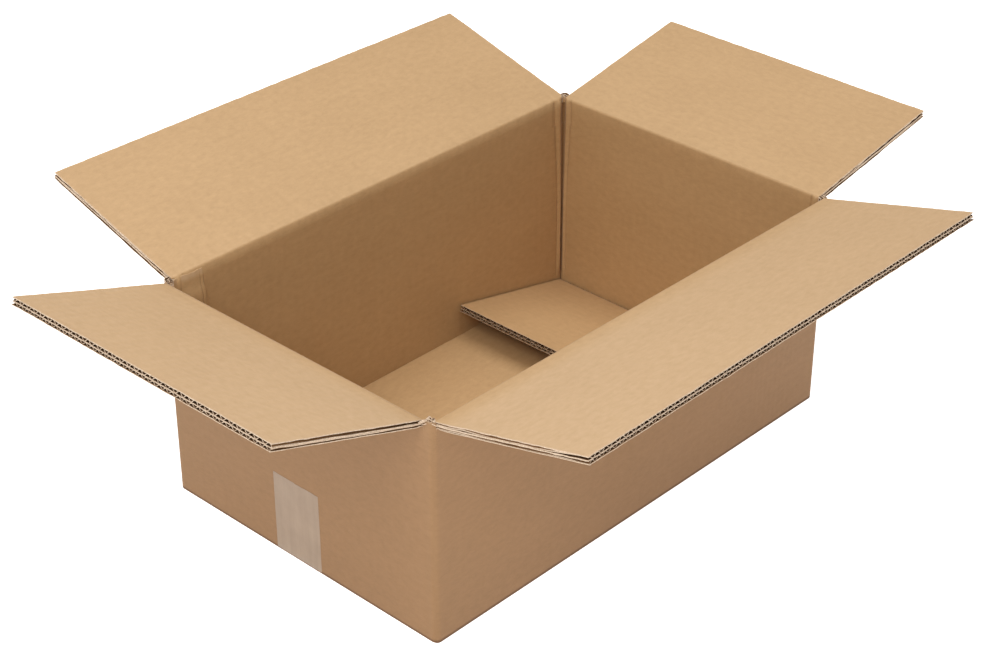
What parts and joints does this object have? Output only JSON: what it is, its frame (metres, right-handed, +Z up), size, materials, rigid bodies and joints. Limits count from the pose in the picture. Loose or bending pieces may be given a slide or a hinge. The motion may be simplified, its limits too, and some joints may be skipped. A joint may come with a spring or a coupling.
{
  "type": "double wall cardboard box",
  "caption": "Open slotted shipping box of double wall corrugated board, with hinged top flaps, loose short bottom flaps and a taped bottom seam.",
  "frame": {"origin": "centre of the base, on the surface the box stands on", "axes": "+Z up; +X along the long walls, away from the short wall whose tape shows; +Y along the short walls, away from the long wall nearest the camera"},
  "size_m": [0.7247, 0.5559, 0.2338],
  "materials": {
    "kraft_walls": "matte",
    "kraft_flaps": "matte",
    "clear_tape": "satin"
  },
  "bodies": {
    "box": {"carton_body": "kraft_walls", "bottom_tape": "clear_tape"},
    "front_flap": {"top_flap_front": "kraft_flaps"},
    "back_flap": {"top_flap_back": "kraft_flaps"},
    "left_flap": {"top_flap_left": "kraft_flaps"},
    "right_flap": {"top_flap_right": "kraft_flaps"},
    "left_bottom_flap": {"bottom_flap_left": "kraft_flaps"},
    "right_bottom_flap": {"bottom_flap_right": "kraft_flaps"}
  },
  "joints": [
    {"name": "front_flap_fold", "type": "hinge", "parent": "box", "child": "front_flap", "pos_m": [0, -0.1413, 0.18755], "axis": [1, 0, 0], "range_deg": [-165.1, 74.9]},
    {"name": "back_flap_fold", "type": "hinge", "parent": "box", "child": "back_flap", "pos_m": [0, 0.1413, 0.18755], "axis": [-1, 0, 0], "range_deg": [-163.9, 76.1]},
    {"name": "left_flap_fold", "type": "hinge", "parent": "box", "child": "left_flap", "pos_m": [-0.224, 0, 0.1829], "axis": [0, -1, 0], "range_deg": [-161.2, 78.8]},
    {"name": "right_flap_fold", "type": "hinge", "parent": "box", "child": "right_flap", "pos_m": [0.224, 0, 0.1845], "axis": [0, 1, 0], "range_deg": [-169.4, 70.6]},
    {"name": "left_bottom_flap_fold", "type": "hinge", "parent": "box", "child": "left_bottom_flap", "pos_m": [-0.21885, 0, 0.01265], "axis": [0, -1, 0], "range_deg": [0, 89]},
    {"name": "right_bottom_flap_fold", "type": "hinge", "parent": "box", "child": "right_bottom_flap", "pos_m": [0.21885, 0, 0.01265], "axis": [0, 1, 0], "range_deg": [-10.3, 78.7]}
  ]
}
